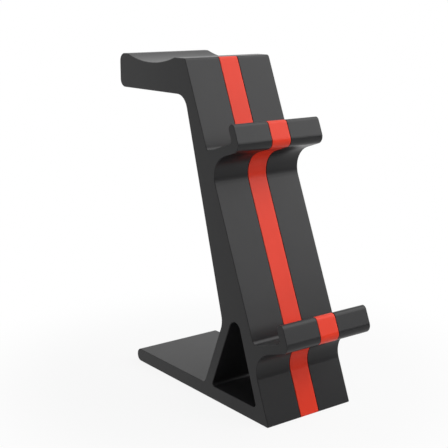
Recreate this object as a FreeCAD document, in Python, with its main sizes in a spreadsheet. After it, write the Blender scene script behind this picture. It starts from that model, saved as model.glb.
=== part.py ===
import FreeCAD, Part
import os
from math import atan2, cos, radians, sin, sqrt, tan
from types import SimpleNamespace

import Sketcher
from FreeCAD import Vector

# A free-standing display stand: one constant side profile, extruded across its width,
# with a coloured strip let flush into the middle of its front face.
# Frame: +Z up, +X across the stand, +Y towards its back, origin under the middle of the base.
# The side profile lies in the YZ plane, so a sketch's x is the stand's Y and its y is the stand's Z.

# Driving sizes in millimetres and degrees.
SIZES = {
    # Whole stand
    "stand_width": 75.0,
    "stand_height": 241.0,
    "edge_bevel": 0.4,
    # Base plate
    "base_length": 164.6,
    "base_thickness": 10.0,
    "tail_flat": 0.8,
    "front_edge_round": 1.1,
    # Front wall, rear leg and the tunnel between them
    "wall_lean": 21.7,
    "wall_thickness": 9.1,
    "tunnel_lean": 20.0,
    "leg_foot": 73.4,
    "leg_lean": 23.0,
    "leg_thickness": 8.0,
    "leg_foot_round": 6.0,
    "knee_round": 14.0,
    "tunnel_round": 2.5,
    "tunnel_apex_round": 6.0,
    # Column: its front plane, carried down, meets the floor ahead of the base
    "column_lead": 6.0,
    "column_lean": 22.7,
    "column_rear_lean": 15.8,
    "column_depth": 15.8,
    "column_top_round": 2.5,
    # Cradles: a sloping shelf with a turned-up lip, twice along the column
    "shelf_height": 58.6,
    "cradle_pitch": 135.5,
    "shelf_slope": 18.0,
    "shelf_thickness": 6.8,
    "shelf_corner_round": 3.0,
    "under_curve": 16.0,
    "lip_reach": 35.4,
    "lip_thickness": 6.5,
    "lip_rise": 9.5,
    "lip_heel_round": 5.5,
    "lip_top_flat": 0.2,
    # Hanger arm with a shallow saddle in its top, both measured from the column's top front corner
    "arm_thickness": 25.3,
    "arm_reach": 86.5,
    "arm_end_round": 6.0,
    "arm_root_round": 12.0,
    "saddle_place": 44.5,
    "saddle_radius": 100.0,
    "saddle_depth": 5.0,
    "saddle_round": 5.0,
    # Stripe and its channel
    "stripe_width": 15.8,
    "stripe_thickness": 1.5,
    "stripe_side_gap": 0.65,
    "stripe_bond_gap": 0.05,
}
size = SimpleNamespace(**SIZES)
LOWER, UPPER = "lower", "upper"

doc = FreeCAD.newDocument("display_stand")
sheet = doc.addObject("Spreadsheet::Sheet", "Sizes")
for row, (alias, value) in enumerate(SIZES.items(), start=1):
    sheet.set(f"A{row}", alias)
    sheet.set(f"B{row}", str(value))
    sheet.setAlias(f"B{row}", alias)
doc.recompute()


# Sketch helpers

def heading(angle):
    """Unit vector in the sketch plane at an angle in degrees from the sketch's x axis."""
    return Vector(cos(radians(angle)), sin(radians(angle)), 0)


def meeting_point(first, second):
    """Where two lines cross, each given as (point, angle)."""
    along, across = heading(first[1]), heading(second[1])
    gap = second[0] - first[0]
    reach = (gap.x * across.y - gap.y * across.x) / (along.x * across.y - along.y * across.x)
    return first[0] + along * reach


def yz_plane(body):
    return next(plane for plane in body.Origin.OriginFeatures if plane.Role == "YZ_Plane")


def body_sketch(body, name):
    sketch = body.newObject("Sketcher::SketchObject", name)
    sketch.AttachmentSupport = [(yz_plane(body), "")]
    sketch.MapMode = "FlatFace"
    return sketch


def add_rules(sketch, rules):
    """Adds constraints, each given as (constraint, name, expression); an unbound one has empty text."""
    first = sketch.ConstraintCount
    sketch.addConstraint([rule[0] for rule in rules])
    for index, (constraint, name, expression) in enumerate(rules, start=first):
        if expression:
            sketch.renameConstraint(index, name)
            sketch.setExpression(f"Constraints.{name}", expression)


def fixed(kind, *places):
    """A constraint without a size of its own."""
    return Sketcher.Constraint(kind, *places), "", ""


def length(kind, name, expression, *places):
    value = sheet.evalExpression(expression)
    return Sketcher.Constraint(kind, *places, float(value)), name, expression


def turn(name, degrees_expression, line):
    value = radians(float(sheet.evalExpression(degrees_expression)))
    return Sketcher.Constraint("Angle", line, value), name, f"({degrees_expression}) * 1 deg"


def draw_chain(sketch, lines, rounds, start=None, end=None):
    """Draws lines joined by tangent arcs and returns the geometry number of each line.

    lines maps a name to (point, angle). rounds holds an expression for the arc after each line;
    with as many rounds as lines the chain is closed, otherwise it runs from start to end.
    """
    names = list(lines)
    closed = len(rounds) == len(names)
    corners = []
    for index, round_expression in enumerate(rounds):
        before = lines[names[index]]
        after = lines[names[(index + 1) % len(names)]]
        bend = radians((after[1] - before[1] + 180) % 360 - 180)
        radius = float(sheet.evalExpression(round_expression))
        corners.append(SimpleNamespace(
            point=meeting_point(before, after),
            before=heading(before[1]),
            after=heading(after[1]),
            left=bend > 0,
            radius=radius,
            cut=radius * tan(abs(bend) / 2),
        ))
    geometry = {}
    for index, name in enumerate(names):
        tail, head = start, end
        if closed or index > 0:
            tail = corners[index - 1].point + corners[index - 1].after * corners[index - 1].cut
        if closed or index < len(corners):
            head = corners[index].point - corners[index].before * corners[index].cut
        geometry[name] = sketch.addGeometry(Part.LineSegment(tail, head), False)
    rules = []
    for index, corner in enumerate(corners):
        side = Vector(-corner.before.y, corner.before.x, 0) * (1 if corner.left else -1)
        arc_start = corner.point - corner.before * corner.cut
        arc_end = corner.point + corner.after * corner.cut
        centre = arc_start + side * corner.radius
        ends = (arc_start, arc_end) if corner.left else (arc_end, arc_start)
        angles = [atan2(place.y - centre.y, place.x - centre.x) for place in ends]
        circle = Part.Circle(centre, Vector(0, 0, 1), corner.radius)
        arc = sketch.addGeometry(Part.ArcOfCircle(circle, *angles), False)
        near, far = (1, 2) if corner.left else (2, 1)
        rules.append(fixed("Tangent", geometry[names[index]], 2, arc, near))
        rules.append(fixed("Tangent", arc, far, geometry[names[(index + 1) % len(names)]], 1))
        rules.append(length("Radius", f"round_{index}", rounds[index], arc))
    add_rules(sketch, rules)
    return geometry


def add_point(sketch, place):
    return sketch.addGeometry(Part.Point(place), True)


# The front line of the profile, shared by the body and the stripe

ORIGIN = (-1, 1)
FLOOR = -1
front_edge = Vector(-size.base_length / 2, 0, 0)
column_foot = front_edge - Vector(size.column_lead, 0, 0)
up_column = heading(90 - size.column_lean)
ahead_of_column = heading(180 - size.column_lean)
above_shelf = heading(90 - size.shelf_slope)
shelf_corner = {
    LOWER: column_foot + up_column * size.shelf_height,
    UPPER: column_foot + up_column * (size.shelf_height + size.cradle_pitch),
}
top_corner = meeting_point((column_foot, 90 - size.column_lean), (Vector(0, size.stand_height, 0), 0))


def cradle_lines(level):
    """One cradle from the underside of its shelf, round the lip and back along the shelf's top."""
    corner = shelf_corner[level]
    lip_inside = size.lip_reach - size.lip_thickness
    return {
        f"underside_{level}": (corner - above_shelf * size.shelf_thickness, 180 - size.shelf_slope),
        f"lip_outer_{level}": (corner + ahead_of_column * size.lip_reach, 90 - size.column_lean),
        f"lip_top_{level}": (corner + up_column * size.lip_rise, -size.column_lean),
        f"lip_inner_{level}": (corner + ahead_of_column * lip_inside, -90 - size.column_lean),
        f"shelf_{level}": (corner, -size.shelf_slope),
    }


LIP_TOP_ROUND = "(Sizes.lip_thickness - Sizes.lip_top_flat) / 2"
CRADLE_ROUNDS = [
    "Sizes.under_curve",
    "Sizes.lip_heel_round",
    LIP_TOP_ROUND,
    LIP_TOP_ROUND,
    "Sizes.shelf_corner_round",
    "Sizes.shelf_corner_round",
]
front_lines = {
    "wall": (front_edge, 90 - size.wall_lean),
    **cradle_lines(LOWER),
    "column": (column_foot, 90 - size.column_lean),
    **cradle_lines(UPPER),
    "backrest": (column_foot, 90 - size.column_lean),
}
front_rounds = [*CRADLE_ROUNDS, *CRADLE_ROUNDS]


def cradle_rules(level, line, corner):
    return [
        fixed("PointOnObject", corner, 1, line[f"shelf_{level}"]),
        turn(f"shelf_slope_{level}", "180 - Sizes.shelf_slope", line[f"underside_{level}"]),
        fixed("Parallel", line[f"underside_{level}"], line[f"shelf_{level}"]),
        length("Distance", f"shelf_thickness_{level}", "Sizes.shelf_thickness",
               corner, 1, line[f"underside_{level}"]),
        fixed("Parallel", line["column"], line[f"lip_outer_{level}"]),
        length("Distance", f"lip_reach_{level}", "Sizes.lip_reach", corner, 1, line[f"lip_outer_{level}"]),
        fixed("Perpendicular", line["column"], line[f"lip_top_{level}"]),
        length("Distance", f"lip_rise_{level}", "Sizes.lip_rise", corner, 1, line[f"lip_top_{level}"]),
        fixed("Parallel", line["column"], line[f"lip_inner_{level}"]),
        length("Distance", f"lip_inside_{level}", "Sizes.lip_reach - Sizes.lip_thickness",
               corner, 1, line[f"lip_inner_{level}"]),
    ]


def add_front_rules(sketch, line):
    """Holds the front line to the floor, the front edge and the column; returns its fixed points."""
    edge = add_point(sketch, front_edge)
    foot = add_point(sketch, column_foot)
    low = add_point(sketch, shelf_corner[LOWER])
    high = add_point(sketch, shelf_corner[UPPER])
    add_rules(sketch, [
        fixed("PointOnObject", edge, 1, FLOOR),
        length("DistanceX", "half_base", "Sizes.base_length / 2", edge, 1, *ORIGIN),
        fixed("PointOnObject", foot, 1, FLOOR),
        length("DistanceX", "column_lead", "Sizes.column_lead", foot, 1, edge, 1),
        fixed("PointOnObject", edge, 1, line["wall"]),
        turn("wall_lean", "90 - Sizes.wall_lean", line["wall"]),
        fixed("PointOnObject", foot, 1, line["column"]),
        turn("column_lean", "90 - Sizes.column_lean", line["column"]),
        fixed("PointOnObject", low, 1, line["column"]),
        length("Distance", "shelf_height", "Sizes.shelf_height", foot, 1, low, 1),
        fixed("PointOnObject", high, 1, line["column"]),
        length("Distance", "cradle_pitch", "Sizes.cradle_pitch", low, 1, high, 1),
        *cradle_rules(LOWER, line, low),
        *cradle_rules(UPPER, line, high),
        fixed("PointOnObject", high, 1, line["backrest"]),
        fixed("Parallel", line["column"], line["backrest"]),
    ])
    return edge, high


# Body: the side profile padded to the stand's width

body = doc.addObject("PartDesign::Body", "body")
leg_foot = front_edge + Vector(size.leg_foot, size.base_thickness, 0)
rear_square = heading(180 - size.column_rear_lean)
rear_lines = {
    "arm_top": (Vector(0, size.stand_height, 0), 0),
    "arm_end": (top_corner + Vector(size.arm_reach, 0, 0), -90),
    "arm_underside": (Vector(0, size.stand_height - size.arm_thickness, 0), 180),
    "column_rear": (shelf_corner[UPPER] - rear_square * size.column_depth, -90 - size.column_rear_lean),
    "leg_rear": (leg_foot, -90 + size.leg_lean),
    "base_top": (leg_foot, 0),
    "tail_end": (front_edge + Vector(size.base_length, 0, 0), -90),
    "base_bottom": (front_edge, 180),
}
TAIL_ROUND = "(Sizes.base_thickness - Sizes.tail_flat) / 2"
rear_rounds = [
    "Sizes.column_top_round",
    "Sizes.arm_end_round",
    "Sizes.arm_end_round",
    "Sizes.arm_root_round",
    "Sizes.knee_round",
    "Sizes.leg_foot_round",
    TAIL_ROUND,
    TAIL_ROUND,
    "Sizes.front_edge_round",
]
profile = body_sketch(body, "side_profile")
line = draw_chain(profile, {**front_lines, **rear_lines}, [*front_rounds, *rear_rounds])
edge, high = add_front_rules(profile, line)
foot = add_point(profile, leg_foot)
corner = add_point(profile, top_corner)
add_rules(profile, [
    fixed("Horizontal", line["arm_top"]),
    length("DistanceY", "stand_height", "Sizes.stand_height", *ORIGIN, line["arm_top"], 1),
    fixed("Vertical", line["arm_end"]),
    fixed("PointOnObject", corner, 1, line["backrest"]),
    fixed("PointOnObject", corner, 1, line["arm_top"]),
    length("DistanceX", "arm_reach", "Sizes.arm_reach", corner, 1, line["arm_end"], 1),
    fixed("Horizontal", line["arm_underside"]),
    length("DistanceY", "arm_thickness", "Sizes.arm_thickness",
           line["arm_underside"], 1, line["arm_top"], 1),
    turn("column_rear_lean", "-90 - Sizes.column_rear_lean", line["column_rear"]),
    length("Distance", "column_depth", "Sizes.column_depth", high, 1, line["column_rear"]),
    length("DistanceX", "leg_foot", "Sizes.leg_foot", edge, 1, foot, 1),
    length("DistanceY", "base_thickness", "Sizes.base_thickness", *ORIGIN, foot, 1),
    fixed("PointOnObject", foot, 1, line["leg_rear"]),
    turn("leg_lean", "-90 + Sizes.leg_lean", line["leg_rear"]),
    fixed("PointOnObject", foot, 1, line["base_top"]),
    fixed("Horizontal", line["base_top"]),
    fixed("Vertical", line["tail_end"]),
    length("DistanceX", "base_length", "Sizes.base_length", edge, 1, line["tail_end"], 1),
    fixed("PointOnObject", line["base_bottom"], 1, FLOOR),
    fixed("PointOnObject", line["base_bottom"], 2, FLOOR),
])
doc.recompute()
pad = body.newObject("PartDesign::Pad", "profile_pad")
pad.Profile = profile
pad.SideType = "Symmetric"
pad.setExpression("Length", "Sizes.stand_width")
doc.recompute()

# Tunnel: a rounded triangle right through the foot

tunnel = body_sketch(body, "tunnel_outline")
tunnel_lines = {
    "tunnel_floor": (leg_foot, 0),
    "tunnel_rear": (leg_foot + heading(180 + size.leg_lean) * size.leg_thickness, 90 + size.leg_lean),
    "tunnel_front": (front_edge + heading(-size.tunnel_lean) * size.wall_thickness, -90 - size.tunnel_lean),
}
tunnel_rounds = ["Sizes.tunnel_round", "Sizes.tunnel_apex_round", "Sizes.tunnel_round"]
line = draw_chain(tunnel, tunnel_lines, tunnel_rounds)
edge = add_point(tunnel, front_edge)
foot = add_point(tunnel, leg_foot)
add_rules(tunnel, [
    fixed("PointOnObject", edge, 1, FLOOR),
    length("DistanceX", "half_base", "Sizes.base_length / 2", edge, 1, *ORIGIN),
    length("DistanceX", "leg_foot", "Sizes.leg_foot", edge, 1, foot, 1),
    length("DistanceY", "base_thickness", "Sizes.base_thickness", *ORIGIN, foot, 1),
    fixed("PointOnObject", foot, 1, line["tunnel_floor"]),
    fixed("Horizontal", line["tunnel_floor"]),
    turn("leg_lean", "90 + Sizes.leg_lean", line["tunnel_rear"]),
    length("Distance", "leg_thickness", "Sizes.leg_thickness", foot, 1, line["tunnel_rear"]),
    turn("tunnel_lean", "-90 - Sizes.tunnel_lean", line["tunnel_front"]),
    length("Distance", "wall_thickness", "Sizes.wall_thickness", edge, 1, line["tunnel_front"]),
])
doc.recompute()


def cut_through(name, outline):
    """Cuts an outline right through the body, both ways from the middle."""
    before = body.Shape.Volume
    pocket = body.newObject("PartDesign::Pocket", name)
    pocket.Profile = outline
    pocket.Type = "ThroughAll"
    pocket.SideType = "Symmetric"
    doc.recompute()
    if pocket.Shape.Volume >= before:
        raise ValueError(f"{name} cuts nothing")
    return pocket


cut_through("tunnel_pocket", tunnel)

# Saddle: a shallow round hollow across the top of the arm

saddle = body_sketch(body, "saddle_outline")
saddle_height = size.stand_height + size.saddle_radius - size.saddle_depth
saddle_centre = Vector(top_corner.x + size.saddle_place, saddle_height, 0)
circle = saddle.addGeometry(Part.Circle(saddle_centre, Vector(0, 0, 1), size.saddle_radius), False)
foot = add_point(saddle, column_foot)
corner = add_point(saddle, top_corner)
front = saddle.addGeometry(Part.LineSegment(column_foot, top_corner), True)
add_rules(saddle, [
    fixed("PointOnObject", foot, 1, FLOOR),
    length("DistanceX", "column_foot", "Sizes.base_length / 2 + Sizes.column_lead", foot, 1, *ORIGIN),
    fixed("Coincident", front, 1, foot, 1),
    fixed("Coincident", front, 2, corner, 1),
    turn("column_lean", "90 - Sizes.column_lean", front),
    length("DistanceY", "stand_height", "Sizes.stand_height", foot, 1, corner, 1),
    length("Radius", "saddle_radius", "Sizes.saddle_radius", circle),
    length("DistanceX", "saddle_place", "Sizes.saddle_place", corner, 1, circle, 3),
    length("DistanceY", "saddle_height", "Sizes.saddle_radius - Sizes.saddle_depth", corner, 1, circle, 3),
])
doc.recompute()
saddle_pocket = cut_through("saddle_pocket", saddle)


def edges_of(feature, wanted):
    """Names the edges of a feature that a test picks out."""
    return [f"Edge{index}" for index, edge in enumerate(feature.Shape.Edges, start=1) if wanted(edge)]


half_saddle = sqrt(size.saddle_radius ** 2 - (size.saddle_radius - size.saddle_depth) ** 2)
SAME_PLACE = 0.01


def is_saddle_rim(edge):
    middle = edge.CenterOfMass
    off_top = abs(middle.z - size.stand_height)
    off_rim = abs(abs(middle.y - saddle_centre.x) - half_saddle)
    return off_top < SAME_PLACE and off_rim < SAME_PLACE


def is_side_edge(edge):
    off_side = [abs(abs(point.x) - size.stand_width / 2) for point in edge.discretize(3)]
    return max(off_side) < SAME_PLACE


rim = body.newObject("PartDesign::Fillet", "saddle_rim")
rim.Base = (saddle_pocket, edges_of(saddle_pocket, is_saddle_rim))
rim.setExpression("Radius", "Sizes.saddle_round")
doc.recompute()
bevel = body.newObject("PartDesign::Chamfer", "side_edges")
bevel.Base = (rim, edges_of(rim, is_side_edge))
bevel.setExpression("Size", "Sizes.edge_bevel")
doc.recompute()

# Stripe and its channel: bands along the front line, which the body's own surface trims

path = doc.addObject("Sketcher::SketchObject", "stripe_path")
path.Placement = FreeCAD.Placement(Vector(0, 0, 0), FreeCAD.Rotation(Vector(1, 1, 1), 120))
below_floor = meeting_point(front_lines["wall"], (Vector(0, -size.base_thickness, 0), 0))
over_top = Vector(0, size.stand_height + size.base_thickness, 0)
above_top = meeting_point(front_lines["backrest"], (over_top, 0))
line = draw_chain(path, front_lines, front_rounds, below_floor, above_top)
add_front_rules(path, line)
add_rules(path, [
    length("DistanceY", "below_floor", "Sizes.base_thickness", line["wall"], 1, *ORIGIN),
    length("DistanceY", "above_top", "Sizes.stand_height + Sizes.base_thickness",
           *ORIGIN, line["backrest"], 2),
])
doc.recompute()


def band_along_front(name, depth_expression, width_expression):
    """A band that lies as deep on both sides of the front line, centred across the stand."""
    section = doc.addObject("Part::Offset2D", f"{name}_section")
    section.Source = path
    section.Mode = "Pipe"
    section.Fill = True
    section.setExpression("Value", depth_expression)
    band = doc.addObject("Part::Extrusion", name)
    band.Base = section
    band.DirMode = "Custom"
    band.Dir = Vector(1, 0, 0)
    band.Solid = True
    band.Symmetric = True
    band.setExpression("LengthFwd", width_expression)
    doc.recompute()
    return band


stripe = doc.addObject("Part::Common", "front_stripe")
stripe.Base = body
stripe.Tool = band_along_front("stripe_band", "Sizes.stripe_thickness", "Sizes.stripe_width")
stand = doc.addObject("Part::Cut", "stand_body")
stand.Base = body
stand.Tool = band_along_front(
    "channel_band",
    "Sizes.stripe_thickness + Sizes.stripe_bond_gap",
    "Sizes.stripe_width + 2 * Sizes.stripe_side_gap",
)
doc.recompute()

# Checks and files

for item in doc.Objects:
    if "Invalid" in item.State or "Error" in item.State:
        raise ValueError(f"{item.Name} failed: {item.State}")
os.makedirs("parts", exist_ok=True)
for piece in (stand, stripe):
    if piece.Shape.isNull() or not piece.Shape.isValid():
        raise ValueError(f"{piece.Label} has no sound shape")
    piece.Shape.exportStep(f"parts/{piece.Label}.step")
    box = piece.Shape.BoundBox
    print(piece.Label, len(piece.Shape.Solids), "solid", round(piece.Shape.Volume), "mm3", box)
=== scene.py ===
from math import cos, pi, radians, sin

import bpy
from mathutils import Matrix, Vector

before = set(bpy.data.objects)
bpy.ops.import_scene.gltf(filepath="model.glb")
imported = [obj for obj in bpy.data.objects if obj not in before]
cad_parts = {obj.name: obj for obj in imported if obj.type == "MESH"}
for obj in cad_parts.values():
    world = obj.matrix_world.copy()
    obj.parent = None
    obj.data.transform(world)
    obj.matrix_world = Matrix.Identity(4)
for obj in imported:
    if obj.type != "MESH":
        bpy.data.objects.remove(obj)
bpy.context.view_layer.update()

# Stand body: the whole side profile with its base, cradles and hanger arm, in one piece.
# Satin black plastic, moulded with a fine grain. It stands on the floor by its own flat
# underside, and every edge along its two sides is lightly broken.

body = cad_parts["stand_body"]


def add_nodes(tree, kinds):
    """Adds nodes to a tree, each under its own name, and returns them by name."""
    nodes = {}
    for name, kind in kinds.items():
        nodes[name] = tree.nodes.new(kind)
        nodes[name].name = name
    return nodes


def set_inputs(node, values):
    """Sets plain values on a node's inputs, given by the input's name or number."""
    for socket, value in values.items():
        node.inputs[socket].default_value = value


def join(tree, *links):
    """Links outputs to inputs, each given as (node, output, node, input)."""
    for source, output, target, socket in links:
        tree.links.new(source.outputs[output], target.inputs[socket])


def number_group(name, inputs, outputs):
    """Starts a shader node group whose named inputs and outputs are plain numbers."""
    group = bpy.data.node_groups.new(name, "ShaderNodeTree")
    for way, sockets in (("INPUT", inputs), ("OUTPUT", outputs)):
        for socket in sockets:
            group.interface.new_socket(socket, in_out=way, socket_type="NodeSocketFloat")
    return group


SPARKLE_DETAIL = 3.0
PATCH_DETAIL = 4.0
PATCH_RAGGEDNESS = 0.6


def moulded_grain_group():
    """Fine pits of a grained mould, and the broad patches where the finish is a little duller."""
    group = number_group("moulded_grain", ("Grain Size", "Patch Size"), ("Height", "Patches"))
    nodes = add_nodes(group, {
        "inputs": "NodeGroupInput",
        "outputs": "NodeGroupOutput",
        "place": "ShaderNodeTexCoord",
        "grain_scale": "ShaderNodeMath",
        "patch_scale": "ShaderNodeMath",
        "pits": "ShaderNodeTexVoronoi",
        "sparkle": "ShaderNodeTexNoise",
        "relief": "ShaderNodeMath",
        "patches": "ShaderNodeTexNoise",
    })
    for scale in ("grain_scale", "patch_scale"):
        nodes[scale].operation = "DIVIDE"
        set_inputs(nodes[scale], {0: 1.0})
    nodes["pits"].feature = "SMOOTH_F1"
    nodes["relief"].operation = "MULTIPLY"
    set_inputs(nodes["sparkle"], {"Detail": SPARKLE_DETAIL})
    set_inputs(nodes["patches"], {"Detail": PATCH_DETAIL, "Roughness": PATCH_RAGGEDNESS})
    join(
        group,
        (nodes["inputs"], "Grain Size", nodes["grain_scale"], 1),
        (nodes["inputs"], "Patch Size", nodes["patch_scale"], 1),
        (nodes["place"], "Object", nodes["pits"], "Vector"),
        (nodes["place"], "Object", nodes["sparkle"], "Vector"),
        (nodes["place"], "Object", nodes["patches"], "Vector"),
        (nodes["grain_scale"], 0, nodes["pits"], "Scale"),
        (nodes["grain_scale"], 0, nodes["sparkle"], "Scale"),
        (nodes["patch_scale"], 0, nodes["patches"], "Scale"),
        (nodes["pits"], "Distance", nodes["relief"], 0),
        (nodes["sparkle"], "Fac", nodes["relief"], 1),
        (nodes["relief"], 0, nodes["outputs"], "Height"),
        (nodes["patches"], "Fac", nodes["outputs"], "Patches"),
    )
    return group


# The edge mask below lightens the colour along sharp edges: partly rubbed wear, partly a painted edge
# highlight.
EDGE_SAMPLES = 6
FLAT_LIKENESS = 0.995
EDGE_LIKENESS = 0.90
EDGE_BREAKUP_SCALE = 90.0
EDGE_BREAKUP_DETAIL = 4.0


def edge_wear_and_highlight_group():
    """A broken mask along sharp edges, where hands and cloths have rubbed the grain smoother, and
    where a painted edge highlight lightens the colour.
    """
    group = number_group("edge_wear_and_highlight", ("Width",), ("Edge",))
    nodes = add_nodes(group, {
        "inputs": "NodeGroupInput",
        "outputs": "NodeGroupOutput",
        "place": "ShaderNodeTexCoord",
        "surface": "ShaderNodeNewGeometry",
        "rounded": "ShaderNodeBevel",
        "likeness": "ShaderNodeVectorMath",
        "turned": "ShaderNodeMapRange",
        "breakup": "ShaderNodeTexNoise",
        "broken": "ShaderNodeMath",
    })
    nodes["rounded"].samples = EDGE_SAMPLES
    nodes["likeness"].operation = "DOT_PRODUCT"
    nodes["broken"].operation = "MULTIPLY"
    set_inputs(nodes["turned"], {"From Min": FLAT_LIKENESS, "From Max": EDGE_LIKENESS})
    set_inputs(nodes["breakup"], {"Scale": EDGE_BREAKUP_SCALE, "Detail": EDGE_BREAKUP_DETAIL})
    join(
        group,
        (nodes["inputs"], "Width", nodes["rounded"], "Radius"),
        (nodes["rounded"], "Normal", nodes["likeness"], 0),
        (nodes["surface"], "Normal", nodes["likeness"], 1),
        (nodes["likeness"], "Value", nodes["turned"], "Value"),
        (nodes["place"], "Object", nodes["breakup"], "Vector"),
        (nodes["turned"], "Result", nodes["broken"], 0),
        (nodes["breakup"], "Fac", nodes["broken"], 1),
        (nodes["broken"], 0, nodes["outputs"], "Edge"),
    )
    return group


moulded_grain = moulded_grain_group()
edge_wear_and_highlight = edge_wear_and_highlight_group()


def empty_tree(owner):
    """Turns a material or a world over to nodes, and returns its tree with nothing in it."""
    owner.use_nodes = True
    owner.node_tree.nodes.clear()
    return owner.node_tree


GRAIN_SIZE = 0.0006
GRAIN_STRENGTH = 0.35
PATCH_SIZE = 0.045
RUBBED_AND_HIGHLIGHT_WIDTH = 0.0007
RUBBED_SMOOTHING = 0.12
PLASTIC_IOR = 1.47


def satin_plastic(name, dull_colour, fresh_colour, rubbed_and_highlight_colour, dull_roughness, fresh_roughness,
                  gloss_level, grain_depth):
    """Grained plastic whose colour and gloss drift a little in patches, and rub smoother on edges,
    where the colour is also lighter: partly rubbed wear, partly a painted edge highlight.
    """
    material = bpy.data.materials.new(name)
    tree = empty_tree(material)
    nodes = add_nodes(tree, {
        "output": "ShaderNodeOutputMaterial",
        "plastic": "ShaderNodeBsdfPrincipled",
        "grain": "ShaderNodeGroup",
        "edges": "ShaderNodeGroup",
        "tint": "ShaderNodeMix",
        "rubbed_and_highlight": "ShaderNodeMix",
        "gloss": "ShaderNodeMapRange",
        "polish": "ShaderNodeMath",
        "bump": "ShaderNodeBump",
    })
    nodes["grain"].node_tree = moulded_grain
    nodes["edges"].node_tree = edge_wear_and_highlight
    nodes["tint"].data_type = "RGBA"
    nodes["rubbed_and_highlight"].data_type = "RGBA"
    nodes["polish"].operation = "MULTIPLY_ADD"
    set_inputs(nodes["grain"], {"Grain Size": GRAIN_SIZE, "Patch Size": PATCH_SIZE})
    set_inputs(nodes["edges"], {"Width": RUBBED_AND_HIGHLIGHT_WIDTH})
    set_inputs(nodes["tint"], {"A": (*dull_colour, 1.0), "B": (*fresh_colour, 1.0)})
    # Lighter colour along edges: partly rubbed wear, partly a painted edge highlight.
    set_inputs(nodes["rubbed_and_highlight"], {"B": (*rubbed_and_highlight_colour, 1.0)})
    set_inputs(nodes["gloss"], {"To Min": dull_roughness, "To Max": fresh_roughness})
    set_inputs(nodes["polish"], {1: -RUBBED_SMOOTHING})
    set_inputs(nodes["bump"], {"Strength": GRAIN_STRENGTH, "Distance": grain_depth})
    set_inputs(nodes["plastic"], {"IOR": PLASTIC_IOR, "Specular IOR Level": gloss_level})
    join(
        tree,
        (nodes["grain"], "Patches", nodes["tint"], "Factor"),
        (nodes["grain"], "Patches", nodes["gloss"], "Value"),
        (nodes["grain"], "Height", nodes["bump"], "Height"),
        (nodes["tint"], "Result", nodes["rubbed_and_highlight"], "A"),
        (nodes["edges"], "Edge", nodes["rubbed_and_highlight"], "Factor"),
        (nodes["rubbed_and_highlight"], "Result", nodes["plastic"], "Base Color"),
        (nodes["edges"], "Edge", nodes["polish"], 0),
        (nodes["gloss"], "Result", nodes["polish"], 2),
        (nodes["polish"], 0, nodes["plastic"], "Roughness"),
        (nodes["bump"], "Normal", nodes["plastic"], "Normal"),
        (nodes["plastic"], "BSDF", nodes["output"], "Surface"),
    )
    return material


def finish_node(node, material):
    """Gives a carried-over solid its material."""
    node.data.materials.clear()
    node.data.materials.append(material)


finish_node(body, satin_plastic(
    "satin_black_plastic",
    dull_colour=(0.0155, 0.0155, 0.0164),
    fresh_colour=(0.0217, 0.0217, 0.0228),
    # lighter edge colour: partly rubbed wear, partly a painted edge highlight
    rubbed_and_highlight_colour=(0.046, 0.046, 0.047),
    dull_roughness=0.38,
    fresh_roughness=0.31,
    gloss_level=0.22,
    grain_depth=0.00006,
))

# Front stripe: one continuous strip that follows the front face from the floor to the top.
# Satin red plastic of the same grain, bonded flush into a shallow channel with a fine joint
# line along each of its two edges.

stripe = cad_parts["front_stripe"]
finish_node(stripe, satin_plastic(
    "satin_red_plastic",
    dull_colour=(0.80, 0.041, 0.015),
    fresh_colour=(0.88, 0.050, 0.019),
    # lighter edge colour: partly rubbed wear, partly a painted edge highlight
    rubbed_and_highlight_colour=(0.88, 0.075, 0.045),
    dull_roughness=0.40,
    fresh_roughness=0.33,
    gloss_level=0.19,
    grain_depth=0.00005,
))

# Floor: a wide flat sheet under the stand, painted a pale grey. To the camera it is nearly
# white, and close to the stand it is painted a little greyer, a pool of painted shade in which
# the real soft shadow of what stands on it also shows.

FLOOR_HALF = 100.0
FLOOR_GREY = (0.65, 0.65, 0.65, 1.0)
WHITE = (1.0, 1.0, 1.0, 1.0)
WHITE_STRENGTH = 1.0
# The fade below greys the floor close to the stand by distance alone, as painted shade.
FADE_START = 0.11
FADE_END = 0.26
NEAR_WHITENESS = 0.90
FAR_WHITENESS = 1.0


def studio_sheet(name, points, faces):
    """Makes a thin sheet of the studio set from its points and faces."""
    mesh = bpy.data.meshes.new(name)
    mesh.from_pydata(points, [], faces)
    sheet = bpy.data.objects.new(name, mesh)
    bpy.context.scene.collection.objects.link(sheet)
    return sheet


def shown_rays(tree):
    """A mask of the rays that show a background: the camera's, and those of gloss and clear pieces."""
    nodes = add_nodes(tree, {
        "rays": "ShaderNodeLightPath",
        "seen_or_glossy": "ShaderNodeMath",
        "shown_mask": "ShaderNodeMath",
    })
    nodes["seen_or_glossy"].operation = "MAXIMUM"
    nodes["shown_mask"].operation = "MAXIMUM"
    join(
        tree,
        (nodes["rays"], "Is Camera Ray", nodes["seen_or_glossy"], 0),
        (nodes["rays"], "Is Glossy Ray", nodes["seen_or_glossy"], 1),
        (nodes["seen_or_glossy"], 0, nodes["shown_mask"], 0),
        (nodes["rays"], "Is Transmission Ray", nodes["shown_mask"], 1),
    )
    return nodes["shown_mask"]


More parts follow.
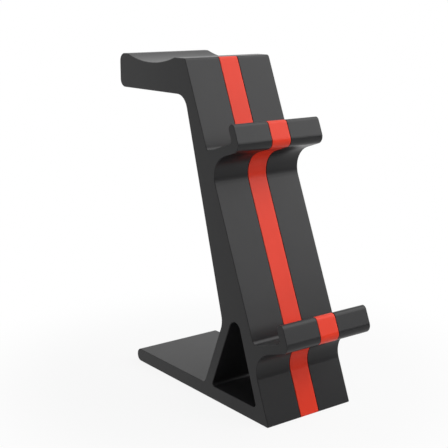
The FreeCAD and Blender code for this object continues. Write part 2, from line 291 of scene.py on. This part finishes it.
floor = studio_sheet(
    "floor",
    [(-FLOOR_HALF, -FLOOR_HALF, 0), (FLOOR_HALF, -FLOOR_HALF, 0),
     (FLOOR_HALF, FLOOR_HALF, 0), (-FLOOR_HALF, FLOOR_HALF, 0)],
    [(0, 1, 2, 3)],
)
floor_paint = bpy.data.materials.new("pale_floor")
floor_tree = empty_tree(floor_paint)
floor_nodes = add_nodes(floor_tree, {
    "output": "ShaderNodeOutputMaterial",
    "place": "ShaderNodeTexCoord",
    "reach": "ShaderNodeVectorMath",
    "fade": "ShaderNodeMapRange",
    "lit": "ShaderNodeBsdfDiffuse",
    "white": "ShaderNodeEmission",
    "share": "ShaderNodeMath",
    "mix": "ShaderNodeMixShader",
})
floor_nodes["reach"].operation = "LENGTH"
floor_nodes["fade"].interpolation_type = "SMOOTHSTEP"
floor_nodes["share"].operation = "MULTIPLY"
set_inputs(floor_nodes["fade"], {"From Min": FADE_START, "From Max": FADE_END})
set_inputs(floor_nodes["fade"], {"To Min": NEAR_WHITENESS, "To Max": FAR_WHITENESS})
set_inputs(floor_nodes["lit"], {"Color": FLOOR_GREY})
set_inputs(floor_nodes["white"], {"Color": WHITE, "Strength": WHITE_STRENGTH})
join(
    floor_tree,
    (floor_nodes["place"], "Object", floor_nodes["reach"], 0),
    (floor_nodes["reach"], "Value", floor_nodes["fade"], "Value"),
    (floor_nodes["fade"], "Result", floor_nodes["share"], 1),
    (shown_rays(floor_tree), 0, floor_nodes["share"], 0),
    (floor_nodes["share"], 0, floor_nodes["mix"], "Fac"),
    (floor_nodes["lit"], "BSDF", floor_nodes["mix"], 1),
    (floor_nodes["white"], "Emission", floor_nodes["mix"], 2),
    (floor_nodes["mix"], "Shader", floor_nodes["output"], "Surface"),
)
floor.data.materials.append(floor_paint)

# Studio light: an even grey surround, a large soft lamp above the front right, and a weaker one
# on the left, both turned to the middle of the stand. The surround shows white to the camera.

SURROUND_STRENGTH = 0.36
BACKDROP_STRENGTH = 1.0
MIDDLE = (0.0, 0.0, 0.12)

world = bpy.data.worlds.new("studio")
bpy.context.scene.world = world
world_tree = empty_tree(world)
world_nodes = add_nodes(world_tree, {
    "output": "ShaderNodeOutputWorld",
    "surround": "ShaderNodeBackground",
    "backdrop": "ShaderNodeBackground",
    "mix": "ShaderNodeMixShader",
})
set_inputs(world_nodes["surround"], {"Color": WHITE, "Strength": SURROUND_STRENGTH})
set_inputs(world_nodes["backdrop"], {"Color": WHITE, "Strength": BACKDROP_STRENGTH})
join(
    world_tree,
    (shown_rays(world_tree), 0, world_nodes["mix"], "Fac"),
    (world_nodes["surround"], "Background", world_nodes["mix"], 1),
    (world_nodes["backdrop"], "Background", world_nodes["mix"], 2),
    (world_nodes["mix"], "Shader", world_nodes["output"], "Surface"),
)


def soft_lamp(name, place, aim, side, power):
    """A square area lamp at a place, turned to face the point aim."""
    lamp = bpy.data.lights.new(name, "AREA")
    lamp.size = side
    lamp.energy = power
    holder = bpy.data.objects.new(name, lamp)
    bpy.context.scene.collection.objects.link(holder)
    holder.location = place
    direction = Vector(aim) - Vector(place)
    holder.rotation_euler = direction.to_track_quat("-Z", "Y").to_euler()


soft_lamp("key_lamp", place=(0.8, -0.56, 0.94), aim=MIDDLE, side=1.4, power=17.4)
soft_lamp("side_lamp", place=(-1.1, -0.2, 0.6), aim=MIDDLE, side=0.8, power=0.5)

# Dark flag: a low half ring of black cloth round the front of the set, as studios use to give
# black pieces a clear edge in their sheen. It stands out of the camera's sight.

FLAG_RADIUS = 2.5
FLAG_FOOT = 0.002
FLAG_TOP = 0.62
FLAG_STEPS = 24
FLAG_BLACK = (0.03, 0.03, 0.03, 1.0)

flag_points = []
flag_faces = []
for step in range(FLAG_STEPS + 1):
    angle = pi + pi * step / FLAG_STEPS
    for height in (FLAG_FOOT, FLAG_TOP):
        flag_points.append((FLAG_RADIUS * cos(angle), FLAG_RADIUS * sin(angle), height))
    if step:
        flag_faces.append((2 * step - 2, 2 * step, 2 * step + 1, 2 * step - 1))
flag = studio_sheet("dark_flag", flag_points, flag_faces)
flag_cloth = bpy.data.materials.new("flag_cloth")
flag_tree = empty_tree(flag_cloth)
flag_nodes = add_nodes(flag_tree, {
    "output": "ShaderNodeOutputMaterial",
    "cloth": "ShaderNodeBsdfDiffuse",
})
set_inputs(flag_nodes["cloth"], {"Color": FLAG_BLACK})
join(flag_tree, (flag_nodes["cloth"], "BSDF", flag_nodes["output"], "Surface"))
flag.data.materials.append(flag_cloth)
flag.visible_camera = False

# Camera: a long lens at the photograph's place, ahead of the stand, to its left and a little
# above it. It is tilted down and turned to the right, with no shift and everything in focus.

LENS = 80.23
SENSOR_WIDTH = 36.0
NEAREST_SHOWN = 0.01
CAMERA_PLACE = (-0.4344, -0.56183, 0.2835)
CAMERA_TILT = radians(77.091)
CAMERA_TURN = radians(-36.870)

camera_data = bpy.data.cameras.new("camera")
camera_data.lens = LENS
camera_data.sensor_width = SENSOR_WIDTH
camera_data.clip_start = NEAREST_SHOWN
camera = bpy.data.objects.new("camera", camera_data)
bpy.context.scene.collection.objects.link(camera)
camera.location = CAMERA_PLACE
camera.rotation_euler = (CAMERA_TILT, 0.0, CAMERA_TURN)
bpy.context.scene.camera = camera
bpy.context.scene.view_settings.view_transform = "Standard"
